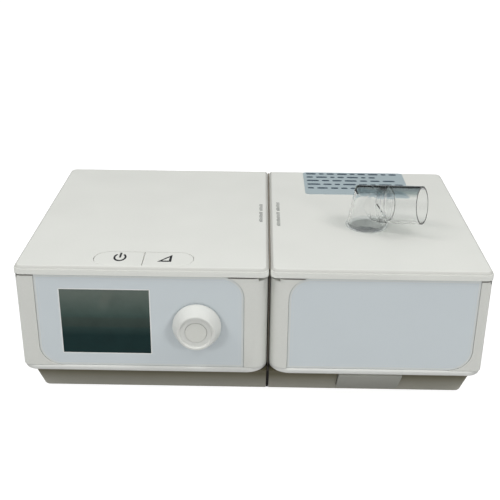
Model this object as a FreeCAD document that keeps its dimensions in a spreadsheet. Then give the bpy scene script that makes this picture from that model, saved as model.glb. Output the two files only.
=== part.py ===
import FreeCAD, Part
import math
import os
import Sketcher

# Bench-top ventilator: a blower unit (left) with a heated humidifier docked on its right.
# Frame: +Z up, the front faces -Y, the origin is under the middle of the bounding box.

DOC = FreeCAD.newDocument("Ventilator")
SHEET = DOC.addObject("Spreadsheet::Sheet", "Dims")
VECTOR = FreeCAD.Vector

DIMENSIONS = [
    ("half_width", 145, "half the width over both covers"),
    ("cover_front", -86.65, "front face of the covers"),
    ("cover_back", 93.35, "rear face of the covers"),
    ("cover_top", 100, "top of the covers above the table"),
    ("cover_thickness", 5.4, "visible edge of a cover"),
    ("cover_round", 1.9, "rounding of a cover's top edge"),
    ("cover_ledge", 1.95, "narrow ledge round a cover, below its top"),
    ("ledge_width", 0.45, "how far the ledge stands out"),
    ("corner_round", 4.5, "plan radius of a cover's corners"),
    ("split_middle", 10, "middle of the gap between the units"),
    ("cover_gap", 1, "gap between the two covers"),
    ("side_inset", 0.4, "housing sides inside the cover's edge"),
    ("seam", 0.8, "shadow gap under the covers"),
    ("wall", 2.2, "housing wall"),
    ("lip_top", 31.3, "top of the lip"),
    ("lip_bottom", 27.4, "bottom of the lip"),
    ("lip_round", 1.5, "rounding of the lip's edges"),
    ("lip_width", 18, "lip ring measured inwards"),
    ("deck", 2, "deck that closes a housing at the bottom"),
    ("base_floor", 1.5, "underside of the base pans"),
    ("base_side_inset", 4.8, "base sides inside the covers"),
    ("base_top_inset", 3.6, "base front behind the covers at the lip"),
    ("base_foot_inset", 24, "base front behind the covers at the floor"),
    ("base_round", 5, "rounding of the base's outer corners"),
    ("bezel_depth", 13, "front bezel, front to back"),
    ("bezel_gap_round", 9.5, "plan radius of a bezel's front corner at the gap"),
    ("bezel_outer_round", 4.2, "plan radius of a bezel's outer front corner"),
    ("lip_gap_round", 13.5, "plan radius of a lip's front corner at the gap"),
    ("lip_outer_round", 9, "plan radius of a lip's outer front corner"),
    ("gap_round", 0.6, "plan radius of the rear corners at the gap"),
    ("leaf_round", 14, "large corner radius of the front panels"),
    ("panel_inset", 0.4, "panel face behind the bezel's face"),
    ("panel_thickness", 4, "front panels"),
    ("panel_gap", 0.08, "gap round a front panel"),
    ("main_panel_left", -133.3, "left edge of the blower unit's panel"),
    ("main_panel_right", -5.2, "right edge of the blower unit's panel"),
    ("damp_panel_left", 21.8, "left edge of the humidifier's panel"),
    ("damp_panel_right", 137.6, "right edge of the humidifier's panel"),
    ("screen_left", -118.2, "screen window"),
    ("screen_right", -63.3, "screen window"),
    ("screen_low", 40.4, "screen window"),
    ("screen_high", 84.7, "screen window"),
    ("knob_middle", -34.3, "knob axis, across"),
    ("knob_height", 61.15, "knob axis above the table"),
    ("knob_radius", 15, "knob at its base"),
    ("knob_rim", 11.4, "knob's front ring"),
    ("knob_length", 10, "knob, base to front ring"),
    ("knob_lift", 1, "gap behind the knob"),
    ("shaft_radius", 3, "encoder shaft"),
    ("keys_left", -98.2, "left end of the key opening"),
    ("keys_right", -36.3, "right end of the key opening"),
    ("keys_middle", -67.5, "split between the two keys"),
    ("keys_front", 3.9, "front edge of the keys behind the cover's front"),
    ("keys_back", 23.2, "rear edge of the keys behind the cover's front"),
    ("key_gap", 0.3, "gap round a key"),
    ("blower_middle", -78, "blower axis, across"),
    ("blower_depth", 18, "blower axis, front to back"),
    ("volute_radius", 36, "volute outside"),
    ("volute_low", 48, "volute floor"),
    ("volute_high", 80, "volute top edge"),
    ("volute_wall", 2.5, "volute wall"),
    ("impeller_radius", 28, "impeller"),
    ("rotor_radius", 1.5, "rotor shaft"),
    ("running_gap", 0.05, "radial clearance of a running fit"),
    ("port_depth", 43, "air port axis, front to back"),
    ("port_height", 64, "air port axis above the table"),
    ("port_radius", 11, "air port outside"),
    ("port_bore", 9.2, "air port inside"),
    ("port_reach", 18, "end of the air port's spigot"),
    ("filter_left", -126, "intake opening in the rear wall"),
    ("filter_right", -82, "intake opening in the rear wall"),
    ("filter_low", 50, "intake opening in the rear wall"),
    ("filter_high", 84, "intake opening in the rear wall"),
    ("card_front", 40, "memory card, front edge"),
    ("card_width", 24, "memory card"),
    ("card_length", 32, "memory card"),
    ("card_thickness", 2.1, "memory card"),
    ("card_height", 60, "underside of the memory card"),
    ("jack_middle", -30, "power inlet axis, across"),
    ("jack_height", 50, "power inlet axis above the table"),
    ("foot_radius", 7, "rubber feet"),
    ("foot_recess", 0.8, "recess that holds a foot"),
    ("foot_inset", 15, "feet from the base's sides"),
    ("screw_inset", 6, "case screws from the base's sides"),
    ("screw_front", -48, "front pair of case screws"),
    ("screw_back", 78, "rear pair of case screws"),
    ("screw_radius", 1.5, "case screw shank"),
    ("hinge_offset", 1.4, "lid hinge axis behind the covers"),
    ("hinge_lift", 0.2, "lid hinge axis above the cover's underside"),
    ("hinge_barrel", 1.75, "hinge knuckle outside"),
    ("pin_radius", 0.9, "hinge pin"),
    ("elbow_middle", 75.2, "elbow axis, across"),
    ("elbow_depth", -15.15, "elbow axis, front to back"),
    ("elbow_rise", 15.7, "middle of the elbow's arm above the lid"),
    ("elbow_swivel", 27.2, "arm turned towards the front, degrees"),
    ("elbow_tilt", 9, "arm tilted up, degrees"),
    ("elbow_arm", 13.4, "socket length from the elbow's axis"),
    ("tube_end", 37.4, "end of the outlet tube from the elbow's axis"),
    ("tube_radius", 12.45, "outlet tube outside"),
    ("tube_bore", 11.2, "outlet tube inside"),
    ("elbow_base", 12.7, "foot of the elbow's upright"),
    ("elbow_crown", 8.9, "top of the elbow's upright"),
    ("elbow_flange", 13.9, "flange on the lid"),
    ("spigot_radius", 11.6, "elbow spigot in the lid"),
    ("tub_left", 26, "water chamber"),
    ("tub_right", 134, "water chamber"),
    ("tub_front", -62, "water chamber"),
    ("tub_back", 78, "water chamber"),
    ("tub_low", 43, "water chamber floor"),
    ("tub_high", 81.5, "water chamber rim"),
    ("tub_wall", 2, "water chamber wall"),
    ("tab_left", 55.5, "release tab"),
    ("tab_right", 96, "release tab"),
    ("tab_low", 5.5, "release tab along the slope, from its foot"),
    ("tab_high", 29.6, "release tab along the slope, from its foot"),
    ("tab_proud", 1.6, "release tab in front of the slope"),
    ("label_left", 37, "label plate on the lid"),
    ("label_right", 114, "label plate on the lid"),
    ("label_front", 43, "label plate on the lid"),
    ("label_back", 91, "label plate on the lid"),
]


class Size:
    """A length that is known both as a number and as the sheet formula that gives it."""

    def __init__(self, value, formula):
        self.value = value
        self.formula = formula

    def joined(self, sign, other, value):
        right = other.formula if isinstance(other, Size) else repr(other)
        return Size(value, "(%s %s %s)" % (self.formula, sign, right))

    def __add__(self, other):
        return self.joined("+", other, self.value + number(other))

    def __sub__(self, other):
        return self.joined("-", other, self.value - number(other))

    def __mul__(self, other):
        return self.joined("*", other, self.value * number(other))

    def __truediv__(self, other):
        return self.joined("/", other, self.value / number(other))

    def __neg__(self):
        return self * -1


class Dimensions:
    """The sheet's cells as Size attributes."""


def number(size):
    return size.value if isinstance(size, Size) else float(size)


def fill_sheet():
    """Write each driving dimension as a plain number with an alias."""
    for row, (alias, value, note) in enumerate(DIMENSIONS, 1):
        SHEET.set("A%d" % row, note)
        SHEET.set("B%d" % row, str(value))
        SHEET.setAlias("B%d" % row, alias)
        setattr(Dimensions, alias, Size(float(value), "Dims." + alias))
    DOC.recompute()
    return Dimensions


D = fill_sheet()


# ---------------------------------------------------------------- building blocks

TURNS = {
    "Z": FreeCAD.Rotation(),
    "X": FreeCAD.Rotation(VECTOR(0, 1, 0), 90),
    "Y": FreeCAD.Rotation(VECTOR(1, 0, 0), -90),
    "-Y": FreeCAD.Rotation(VECTOR(1, 0, 0), 90),
}


def bind(thing, path, size):
    """Set a property from the sheet, or as a plain number."""
    if isinstance(size, Size):
        thing.setExpression(path, size.formula)
        return
    owner = thing
    *parents, last = path.split(".")
    for parent in parents:
        owner = getattr(owner, parent)
    setattr(owner, last, size)


def place(thing, x, y, z, axis="Z"):
    thing.Placement = FreeCAD.Placement(VECTOR(number(x), number(y), number(z)), TURNS[axis])
    for letter, size in zip("xyz", (x, y, z)):
        if isinstance(size, Size):
            thing.setExpression("Placement.Base." + letter, size.formula)
    return thing


def block(label, x, y, z):
    """A box between a low and a high value on each axis."""
    box = DOC.addObject("Part::Box", label)
    for path, (low, high) in zip(("Length", "Width", "Height"), (x, y, z)):
        bind(box, path, high - low)
    return place(box, x[0], y[0], z[0])


def rod(label, x, y, z, radius, length, axis="Z"):
    cylinder = DOC.addObject("Part::Cylinder", label)
    bind(cylinder, "Radius", radius)
    bind(cylinder, "Height", length)
    return place(cylinder, x, y, z, axis)


def cut(label, base, *tools):
    """The base without the tools."""
    result = DOC.addObject("Part::Cut", label)
    result.Base = base
    result.Tool = tools[0] if len(tools) == 1 else fuse(label + "_tools", *tools)
    return result


def common(label, base, tool):
    """What two shapes share."""
    result = DOC.addObject("Part::Common", label)
    result.Base = base
    result.Tool = tool
    return result


def fuse(label, *pieces):
    result = DOC.addObject("Part::MultiFuse", label)
    result.Shapes = list(pieces)
    return result


def group(label, *pieces):
    """Identical separate solids kept under one name."""
    result = DOC.addObject("Part::Compound", label)
    result.Links = list(pieces)
    return result


def outline(body, plane, points):
    """A closed polygon on one of the body's own planes, each corner held by the sheet."""
    sketch = body.newObject("Sketcher::SketchObject", body.Name + "_outline")
    role = plane + "_Plane"
    origin = [item for item in body.Origin.OriginFeatures if item.Role == role][0]
    sketch.AttachmentSupport = (origin, [""])
    sketch.MapMode = "FlatFace"
    count = len(points)
    corners = [VECTOR(number(u), number(v), 0) for u, v in points]
    for index in range(count):
        sketch.addGeometry(Part.LineSegment(corners[index], corners[(index + 1) % count]), False)
    for index in range(count):
        sketch.addConstraint(Sketcher.Constraint("Coincident", index, 2, (index + 1) % count, 1))
    for index, point in enumerate(points):
        for kind, size in zip(("DistanceX", "DistanceY"), point):
            place_of = sketch.addConstraint(Sketcher.Constraint(kind, -1, 1, index, 1, number(size)))
            if isinstance(size, Size):
                sketch.setExpression("Constraints[%d]" % place_of, size.formula)
    return sketch


def rectangle(u, v):
    return [(u[0], v[0]), (u[1], v[0]), (u[1], v[1]), (u[0], v[1])]


def prism(label, plane, points, low, high):
    """A straight body: an outline on a plane, padded from low to high along its normal."""
    body = DOC.addObject("PartDesign::Body", label)
    pad = body.newObject("PartDesign::Pad", label + "_pad")
    pad.Profile = outline(body, plane, points)
    pad.Reversed = plane == "XZ"
    bind(pad, "Length", high - low if isinstance(high, Size) else -(low - high))
    offset = {"XY": (0, 0, low), "XZ": (0, low, 0), "YZ": (low, 0, 0)}[plane]
    place(body, *offset)
    DOC.recompute()
    return body


def plate(label, x, y, z):
    return prism(label, "XY", rectangle(x, y), z[0], z[1])


def turned(label, points, x, y, z, axis="Z"):
    """A body of revolution: points are radius and distance along the axis."""
    body = DOC.addObject("PartDesign::Body", label)
    turn = body.newObject("PartDesign::Revolution", label + "_turn")
    sketch = outline(body, "XZ", points)
    turn.Profile = sketch
    turn.ReferenceAxis = (sketch, ["V_Axis"])
    turn.Angle = 360
    place(body, x, y, z, axis)
    DOC.recompute()
    return body


def ring(label, x, y, z, outer, inner, length, axis="Z"):
    points = [(inner, 0), (outer, 0), (outer, length), (inner, length)]
    return turned(label, points, x, y, z, axis)


def upright(*corners, axis="z"):
    """Picks the straight edges along an axis that pass through the given corners."""
    others = [letter for letter in "xyz" if letter != axis]

    def picks(edge):
        middle = edge.CenterOfMass
        if abs(getattr(edge.tangentAt(edge.FirstParameter), axis)) < 0.6:
            return False
        if not corners:
            return True
        return any(
            all(abs(getattr(middle, letter) - number(size)) < 0.05 for letter, size in zip(others, corner))
            for corner in corners
        )

    return picks


def level(axis, *heights):
    """Picks the edges that lie wholly at one of the given levels."""
    name = axis.upper()

    def picks(edge):
        box = edge.BoundBox
        low, high = getattr(box, name + "Min"), getattr(box, name + "Max")
        return any(abs(low - number(mark)) < 0.02 and abs(high - number(mark)) < 0.02 for mark in heights)

    return picks


def rounded(body, radius, picks):
    """Fillet the picked edges of the body's last feature."""
    base = body.Tip
    names = ["Edge%d" % (place_of + 1) for place_of, edge in enumerate(base.Shape.Edges) if picks(edge)]
    if not names:
        raise ValueError("no edges picked on " + body.Label)
    fillet = body.newObject("PartDesign::Fillet", body.Name + "_round")
    fillet.Base = (base, names)
    bind(fillet, "Radius", radius)
    DOC.recompute()
    return body


# ---------------------------------------------------------------- shared levels

COVER_BOTTOM = D.cover_top - D.cover_thickness
BEZEL_FRONT = D.cover_front + D.side_inset
BEZEL_BACK = BEZEL_FRONT + D.bezel_depth
HOUSING_BACK = D.cover_back - D.side_inset
PANEL_FRONT = BEZEL_FRONT + D.panel_inset
PANEL_BACK = PANEL_FRONT + D.panel_thickness
PANEL_TOP = COVER_BOTTOM - 0.2
RIM = 0.9
BASE_INSIDE = D.base_floor + D.wall
HALF_GAP = D.cover_gap / 2
LEFT = 0
RIGHT = 1
MAIN_COVER = (-D.half_width, D.split_middle - HALF_GAP)
DAMP_COVER = (D.split_middle + HALF_GAP, D.half_width)
MAIN_SIDES = (MAIN_COVER[0] + D.side_inset, MAIN_COVER[1] - D.side_inset)
DAMP_SIDES = (DAMP_COVER[0] + D.side_inset, DAMP_COVER[1] - D.side_inset)
MAIN_BASE = (MAIN_COVER[0] + D.base_side_inset, MAIN_SIDES[1])
DAMP_BASE = (DAMP_SIDES[0], DAMP_COVER[1] - D.base_side_inset)
ENCODER_FRONT = BEZEL_BACK - 2
KEY_STEM_Y = D.cover_front + D.keys_back - 4.2


def inset(span, margin):
    """Both ends moved inwards by the margin, or outwards when it is negative."""
    return span[0] + margin, span[1] - margin


def screw_places(base):
    """The four case screws of one unit."""
    across = inset(base, D.screw_inset)
    return [(x, y) for x in across for y in (D.screw_front, D.screw_back)]


# ---------------------------------------------------------------- shells of one unit

def base_pan(label, base, outer, *extra_cuts):
    """Grey pan with a front that slopes back to the floor and rounded outer corners."""
    foot = D.cover_front + D.base_foot_inset
    top = D.cover_front + D.base_top_inset
    back = HOUSING_BACK - D.base_top_inset
    shell = prism(label + "_shell", "YZ",
                  [(foot, D.base_floor), (back, D.base_floor), (back, D.lip_bottom), (top, D.lip_bottom)],
                  base[0], base[1])
    outer_local = outer * number(base[1] - base[0])
    rounded(shell, D.base_round, lambda edge: is_outer_corner(edge, outer_local))
    hollow = prism(label + "_hollow", "YZ",
                   [(foot + D.wall, BASE_INSIDE), (back - D.wall, BASE_INSIDE),
                    (back - D.wall, D.lip_bottom + 1), (top + D.wall + 1.5, D.lip_bottom + 1)],
                   base[0] + D.wall, base[1] - D.wall)
    tray = cut(label + "_tray", shell, hollow)
    bosses = []
    drills = list(extra_cuts)
    for index, (x, y) in enumerate(screw_places(base)):
        bosses.append(rod("%s_boss%d" % (label, index), x, y, D.base_floor, 4.5, D.lip_bottom - D.base_floor))
        drills.append(rod("%s_drill%d" % (label, index), x, y, 0, D.screw_radius + 0.1, D.lip_bottom + 1))
        drills.append(rod("%s_head%d" % (label, index), x, y, 0, 3.2, D.base_floor + 3))
    for index, (x, y) in enumerate(foot_places(base)):
        drills.append(rod("%s_pad%d" % (label, index), x, y, 0, D.foot_radius, D.base_floor + D.foot_recess))
    return cut(label, fuse(label + "_body", tray, *bosses), *drills)


def is_outer_corner(edge, outer_local):
    """The two corner edges on the unit's outer side run up, not across or front to back."""
    direction = edge.tangentAt(edge.FirstParameter)
    return abs(edge.CenterOfMass.x - outer_local) < 0.05 and abs(direction.z) > 0.6


def foot_places(base):
    across = inset(base, D.foot_inset)
    return [(x, y + 14) for x in across for y in (D.screw_front, D.screw_back - 28)]


def feet(label, base):
    pads = [rod("%s%d" % (label, index), x, y, 0, D.foot_radius, D.base_floor + D.foot_recess)
            for index, (x, y) in enumerate(foot_places(base))]
    return group(label, *pads)


def case_screws(label, base):
    """Pan-head screws that clamp base, lip and housing together."""
    head = D.base_floor + 3
    tip = D.lip_top + 7
    screws = []
    for index, (x, y) in enumerate(screw_places(base)):
        points = [(0, head - 2), (2.9, head - 2), (2.9, head), (D.screw_radius, head),
                  (D.screw_radius, tip), (0, tip)]
        screws.append(turned("%s%d" % (label, index), points, x, y, 0))
    return group(label, *screws)


def round_corners(body, span, y, outer, gap_radius, outer_radius):
    """One plan radius at the gap and one on the unit's outer side (0 left, 1 right)."""
    rounded(body, gap_radius, upright((span[1 - outer], y)))
    rounded(body, outer_radius, upright((span[outer], y)))


def lip_ring(label, cover, base, outer):
    """Band that stands proud between the base and the housing."""
    band = plate(label + "_band", cover, (D.cover_front, D.cover_back), (D.lip_bottom, D.lip_top))
    round_corners(band, cover, D.cover_front, outer, D.lip_gap_round, D.lip_outer_round)
    round_corners(band, cover, D.cover_back, outer, D.gap_round, D.corner_round)
    rounded(band, D.lip_round, level("z", 0, D.lip_top - D.lip_bottom))
    depth = (D.cover_front, D.cover_back)
    hole = block(label + "_hole", inset(cover, D.lip_width), inset(depth, D.lip_width),
                 (D.lip_bottom - 1, D.lip_top + 1))
    drills = [rod("%s_drill%d" % (label, index), x, y, D.lip_bottom - 1, D.screw_radius + 0.1,
                  D.lip_top - D.lip_bottom + 2) for index, (x, y) in enumerate(screw_places(base))]
    return cut(label, band, hole, *drills)


def housing_shell(label, sides, base, outer, *cuts):
    """Four walls and a deck from the lip to the cover, with screw bosses at the sides."""
    outside = plate(label + "_walls", sides, (BEZEL_BACK, HOUSING_BACK), (D.lip_top, COVER_BOTTOM))
    round_corners(outside, sides, HOUSING_BACK, outer, D.gap_round, D.corner_round)
    inside = block(label + "_inside", inset(sides, D.wall), inset((BEZEL_BACK, HOUSING_BACK), D.wall),
                   (D.lip_top + D.deck, COVER_BOTTOM + 1))
    tray = cut(label + "_tray", outside, inside)
    bosses = []
    drills = []
    for index, (x, y) in enumerate(screw_places(base)):
        across = (sides[0] + 1, x + 4) if index < 2 else (x - 4, sides[1] - 1)
        bosses.append(block("%s_boss%d" % (label, index), across, (y - 4, y + 4), (D.lip_top, D.lip_top + 8)))
        drills.append(rod("%s_drill%d" % (label, index), x, y, D.lip_top - 1, D.screw_radius, 8.2))
    return cut(label, fuse(label + "_body", tray, *bosses), *drills, *cuts)


def leaf(label, x, z, y, big):
    """Front panel outline: two opposite corners rounded large, the other two nearly square."""
    body = prism(label, "XZ", rectangle(x, z), y[0], y[1])
    rounded(body, D.leaf_round, upright(*big, axis="y"))
    return body


def leaf_corners(x, z, outer):
    """The large corners: at the top on the gap's side, at the bottom on the outer side."""
    return [(x[1 - outer], z[1]), (x[outer], z[0])]


def front_bezel(label, sides, panel, outer, *cuts):
    """Two rounded columns joined behind the panel, with a thin rim below the cover."""
    top = COVER_BOTTOM - D.seam
    frame = plate(label + "_frame", sides, (BEZEL_FRONT, BEZEL_BACK), (D.lip_top, top))
    round_corners(frame, sides, BEZEL_FRONT, outer, D.bezel_gap_round, D.bezel_outer_round)
    rounded(frame, 0.3, level("z", top - D.lip_top))
    rise = (D.lip_top, PANEL_TOP)
    pocket = leaf(label + "_pocket", panel, rise, (BEZEL_FRONT - 20, PANEL_BACK),
                  leaf_corners(panel, rise, outer))
    relief = block(label + "_relief", inset(panel, 4), (PANEL_BACK + 2.5, BEZEL_BACK + 1),
                   (D.lip_top + 4, top - 8))
    groove = block(label + "_groove", inset(sides, RIM), (BEZEL_FRONT + RIM, BEZEL_BACK + 1),
                   (top - 2, top + 1))
    return cut(label, frame, pocket, relief, groove, *cuts)


def front_panel(label, panel, outer, *cuts):
    x = inset(panel, D.panel_gap)
    z = inset((D.lip_top, PANEL_TOP), D.panel_gap)
    sheet = leaf(label + "_leaf", x, z, (PANEL_FRONT, PANEL_BACK), leaf_corners(x, z, outer))
    rounded(sheet, 0.35, level("y", 0))
    if not cuts:
        sheet.Label = label
        return sheet
    return cut(label, sheet, *cuts)


def cover_plate(label, cover, outer):
    """Flat cover with rounded corners, a rounded top edge and a narrow ledge below the rounding."""
    depth = (D.cover_front, D.cover_back)
    rim = plate(label + "_rim_band", cover, depth, (COVER_BOTTOM, D.cover_top - D.cover_ledge))
    cover_corners(rim, cover, depth, outer)
    rounded(rim, 0.3, level("z", D.cover_thickness - D.cover_ledge))
    cap, cap_depth = inset(cover, D.ledge_width), inset(depth, D.ledge_width)
    top = plate(label + "_top", cap, cap_depth, (COVER_BOTTOM, D.cover_top))
    cover_corners(top, cap, cap_depth, outer)
    rounded(top, D.cover_round, level("z", D.cover_thickness))
    return fuse(label + "_plate", rim, top)


def cover_corners(body, span, depth, outer):
    """Three rounded corners and a nearly square one at the rear of the gap."""
    round_corners(body, span, depth[0], outer, D.corner_round, D.corner_round)
    round_corners(body, span, depth[1], outer, D.gap_round, D.corner_round)


def cover_skirt(label, sides):
    """Locating rib under a cover, just inside the housing's walls."""
    span = inset((BEZEL_BACK, HOUSING_BACK), D.wall + 0.2)
    across = inset(sides, D.wall + 0.2)
    rise = (COVER_BOTTOM - 2.5, COVER_BOTTOM + 0.5)
    rim = block(label + "_rim", across, span, rise)
    clear = block(label + "_clear", inset(across, 1.6), inset(span, 1.6), (rise[0] - 1, rise[1] + 1))
    return cut(label + "_skirt", rim, clear)


# ---------------------------------------------------------------- blower unit, outside

def screen_span(margin):
    return (D.screen_left - margin, D.screen_right + margin), (D.screen_low - margin, D.screen_high + margin)


def main_front():
    window_x, window_z = screen_span(0)
    module_x, module_z = screen_span(3)
    shaft_y = BEZEL_FRONT - 5
    front_panel("main_front_panel", (D.main_panel_left, D.main_panel_right), LEFT,
                key_room("panel_key_room"),
                block("panel_window", window_x, (shaft_y, PANEL_BACK + 5), window_z),
                rod("panel_shaft_hole", D.knob_middle, shaft_y, D.knob_height, 7.2, 15, "Y"))
    front_bezel("main_bezel", MAIN_SIDES, (D.main_panel_left, D.main_panel_right), LEFT,
                key_room("bezel_key_room"),
                block("bezel_window", module_x, (shaft_y, BEZEL_BACK + 1), module_z),
                rod("bezel_shaft_hole", D.knob_middle, shaft_y, D.knob_height, 9, 30, "Y"))
    glass_x, glass_z = screen_span(-0.1)
    block("screen_window", glass_x, (PANEL_FRONT, PANEL_BACK), glass_z)
    lcd_x, lcd_z = screen_span(2.6)
    block("display_module", lcd_x, (PANEL_BACK + 0.05, BEZEL_BACK - 0.6), lcd_z)


def knob():
    """Push-and-turn knob: a flared cap with a dished front, on the encoder's shaft."""
    front = D.knob_length
    rear_y = PANEL_FRONT - D.knob_lift
    cap = turned("control_knob", [
        (0, 5.2), (D.shaft_radius, 5.2), (D.shaft_radius, -3), (6.4, -3), (6.4, 0),
        (D.knob_radius, 0), (D.knob_radius, 1.6), (D.knob_rim + 0.7, front - 1.4), (D.knob_rim, front),
        (D.knob_rim - 1.2, front), (D.knob_rim - 1.7, front - 1.3), (6.75, front - 1.3),
        (6.75, front - 3.2), (0, front - 3.2),
    ], D.knob_middle, rear_y, D.knob_height, "-Y")
    rounded(cap, 0.8, level("z", 1.6))
    rounded(cap, 0.45, level("z", front))
    turned("knob_disc", [(0, front - 3.2), (6.6, front - 3.2), (6.6, front - 1.15), (0, front - 1.15)],
           D.knob_middle, rear_y, D.knob_height, "-Y")
    rod("encoder_shaft", D.knob_middle, ENCODER_FRONT + 4.2, D.knob_height, D.shaft_radius,
        ENCODER_FRONT + 4.2 - rear_y + 5.2, "-Y")


def encoder():
    """Rotary encoder: a square body with a threaded bush, and the plunger that works its push switch."""
    front = ENCODER_FRONT
    half = 6
    x = (D.knob_middle - half, D.knob_middle + half)
    z = (D.knob_height - half, D.knob_height + half)
    case = block("encoder_case", x, (front, front + 6.5), z)
    bush = rod("encoder_bush", D.knob_middle, front - 3.5, D.knob_height, 4.6, 4, "Y")
    bore = rod("encoder_bore", D.knob_middle, front - 5, D.knob_height, D.shaft_radius + D.running_gap,
               20, "Y")
    well = rod("encoder_well", D.knob_middle, front + 2, D.knob_height, 4.3, 5, "Y")
    cut("encoder_body", fuse("encoder_solid", case, bush), bore, well)
    ring("encoder_plunger", D.knob_middle, front + 2.6, D.knob_height, 4.2,
         D.shaft_radius + D.running_gap, 1.6, "Y")


def key_room(label):
    """Space under the cover in which the keys' flanges travel."""
    return block(label, (D.keys_left - 3, D.keys_right + 3),
                 (D.cover_front + D.keys_front - 1.8, D.cover_front + D.keys_back + 1.8),
                 (COVER_BOTTOM - 3.4, COVER_BOTTOM))


def key(label, x, rounded_side):
    """One half of the stadium-shaped pair of keys: cap, retaining flange and stem."""
    y = (D.cover_front + D.keys_front, D.cover_front + D.keys_back)
    end = (y[1] - y[0]) / 2 - 0.05
    cap = plate(label + "_cap", x, y, (COVER_BOTTOM - 1, D.cover_top))
    rounded(cap, end, upright((rounded_side, y[0]), (rounded_side, y[1])))
    rounded(cap, 0.4, level("z", D.cover_thickness + 1))
    flange = plate(label + "_flange", x, (y[0] - 1.2, y[1] + 1.2), (COVER_BOTTOM - 1, COVER_BOTTOM))
    rounded(flange, 3, upright())
    middle = (x[0] + x[1]) / 2
    stem = rod(label + "_stem", middle, KEY_STEM_Y, COVER_BOTTOM - 8, 2, 7.5)
    return fuse(label, cap, flange, stem)


def keys():
    half = D.key_gap / 2
    left = (D.keys_left + D.key_gap, D.keys_middle - half)
    right = (D.keys_middle + half, D.keys_right - D.key_gap)
    key("power_key", left, left[0])
    key("ramp_key", right, right[1])
    board_top = COVER_BOTTOM - 11.1
    switches = []
    for index, side in enumerate((left, right)):
        middle = (side[0] + side[1]) / 2
        switches.append(block("key_switch%d" % index, (middle - 3, middle + 3),
                              (KEY_STEM_Y - 3, KEY_STEM_Y + 3), (board_top, COVER_BOTTOM - 9.3)))
    group("key_switches", *switches)
    block("key_board", (D.keys_left, D.keys_right), (BEZEL_BACK + D.wall + 0.3, KEY_STEM_Y + 6),
          (board_top - 1.6, board_top))


def main_cover():
    y = (D.cover_front + D.keys_front - D.key_gap, D.cover_front + D.keys_back + D.key_gap)
    slot = plate("key_slot", (D.keys_left, D.keys_right), y, (COVER_BOTTOM - 1, D.cover_top + 1))
    rounded(slot, (y[1] - y[0]) / 2 - 0.05, upright())
    shell = fuse("main_cover_shell", cover_plate("main_cover", MAIN_COVER, LEFT),
                 cover_skirt("main_cover", MAIN_SIDES))
    cut("main_top_cover", shell, slot, key_room("cover_key_room"))


def main_housing():
    wide = (BEZEL_BACK - 1, BEZEL_BACK + D.wall + 1)
    module_x, module_z = screen_span(3)
    rear = (HOUSING_BACK - D.wall - 1, HOUSING_BACK + 1)
    left = (MAIN_SIDES[0] - 1, MAIN_SIDES[0] + D.wall + 1)
    card_y = (D.card_front - 0.4, D.card_front + D.card_width + 0.4)
    housing_shell(
        "main_housing", MAIN_SIDES, MAIN_BASE, LEFT, key_room("housing_key_room"),
        block("bulkhead_window", module_x, wide, module_z),
        block("bulkhead_encoder", (D.knob_middle - 8, D.knob_middle + 8), wide,
              (D.knob_height - 8, D.knob_height + 8)),
        rod("port_hole", MAIN_SIDES[1] - D.wall - 1, D.port_depth, D.port_height, D.port_radius + 0.2,
            D.wall + 2, "X"),
        block("intake_hole", (D.filter_left, D.filter_right), rear, (D.filter_low, D.filter_high)),
        block("card_hole", left, card_y, (D.card_height - 0.3, D.card_height + D.card_thickness + 0.3)),
        rod("jack_hole", D.jack_middle, rear[0], D.jack_height, 6, D.wall + 2, "Y"))


# ---------------------------------------------------------------- blower unit, inside

def blower():
    """Centrifugal blower: volute with a tangential outlet, cover, motor, shaft and impeller."""
    x, y = D.blower_middle, D.blower_depth
    inner = D.volute_radius - D.volute_wall
    floor = D.volute_low + D.volute_wall
    drum = rod("volute_drum", x, y, D.volute_low, D.volute_radius, D.volute_high - D.volute_low)
    snout = rod("volute_snout", x, D.port_depth, D.port_height, D.port_radius, 44, "X")
    hollow = rod("volute_hollow", x, y, floor, inner, D.volute_high - floor + 1)
    throat = rod("volute_throat", x, D.port_depth, D.port_height, D.port_bore, 50, "X")
    cut("blower_volute", fuse("volute_solid", drum, snout), hollow, throat)
    lid = rod("blower_cover_disc", x, y, D.volute_high, D.volute_radius, 2.5)
    collar = rod("blower_cover_collar", x, y, D.volute_high, 15, 8)
    eye = rod("blower_cover_eye", x, y, D.volute_high - 1, 13, 10)
    cut("blower_cover", fuse("blower_cover_solid", lid, collar), eye)
    ring("blower_motor", x, y, floor, 15, D.rotor_radius + D.running_gap, 11.5)
    impeller(x, y, floor + 13)


def impeller(x, y, z):
    body = turned("impeller", [
        (D.rotor_radius, 0), (D.impeller_radius, 0), (D.impeller_radius, 1.4), (5, 1.4), (5, 10),
        (D.rotor_radius, 10),
    ], x, y, z)
    blade = body.newObject("Sketcher::SketchObject", "blade_outline")
    plane = [item for item in body.Origin.OriginFeatures if item.Role == "XY_Plane"][0]
    blade.AttachmentSupport = (plane, [""])
    blade.MapMode = "FlatFace"
    corners = [(4, -1), (27, 6), (27, 7.1), (4, 0.1)]
    for index, corner in enumerate(corners):
        following = corners[(index + 1) % 4]
        blade.addGeometry(Part.LineSegment(VECTOR(*corner, 0), VECTOR(*following, 0)), False)
        blade.addConstraint(Sketcher.Constraint("Block", index))
    pad = body.newObject("PartDesign::Pad", "blade_pad")
    pad.Profile = blade
    pad.Length = 9
    DOC.recompute()
    pattern = body.newObject("PartDesign::PolarPattern", "blade_pattern")
    pattern.Originals = [pad]
    pattern.Axis = ([item for item in body.Origin.OriginFeatures if item.Role == "Z_Axis"][0], [""])
    pattern.Angle = 360
    pattern.Occurrences = 11
    body.Tip = pattern
    DOC.recompute()
    before = pad.Shape.Volume
    if pattern.Shape.Volume < before + 10:
        raise ValueError("the blade pattern added nothing")
    rod("rotor_shaft", x, y, z - 12, D.rotor_radius, 22)


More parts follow.
